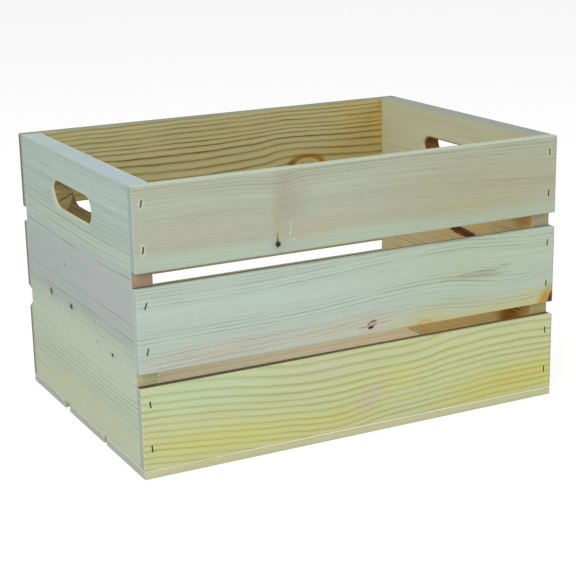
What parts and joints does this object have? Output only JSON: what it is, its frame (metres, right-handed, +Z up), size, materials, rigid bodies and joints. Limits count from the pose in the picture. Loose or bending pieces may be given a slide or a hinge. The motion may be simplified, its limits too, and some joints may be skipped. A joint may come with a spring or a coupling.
{
  "type": "wooden crate",
  "caption": "Open-topped slatted pine crate with solid end panels, hand slots cut through both ends, spaced side boards and bottom slats, all stapled together.",
  "frame": {"origin": "on the ground under the middle of the crate", "axes": "+X along the crate's length, -Y out of the front, +Z up"},
  "size_m": [0.46, 0.32, 0.276],
  "materials": {
    "panel_pine": "bare planed pine, fine close rings",
    "pale_pine": "bare planed pine, pale sapwood",
    "yellow_pine": "bare planed pine with strong rings",
    "honey_pine": "bare planed pine, darker rings",
    "slat_pine": "bare sawn pine",
    "staple_wire": "dull galvanised wire"
  },
  "bodies": {
    "root": {"end_panel_left": "panel_pine", "end_panel_right": "panel_pine", "front_board_top": "pale_pine", "front_board_middle": "pale_pine", "front_board_bottom": "yellow_pine", "back_board_top": "honey_pine", "back_board_middle": "pale_pine", "back_board_bottom": "pale_pine", "bottom_slat_front": "slat_pine", "bottom_slat_middle": "slat_pine", "bottom_slat_back": "slat_pine", "front_staples": "staple_wire", "back_staples": "staple_wire", "bottom_staples": "staple_wire"}
  },
  "joints": []
}
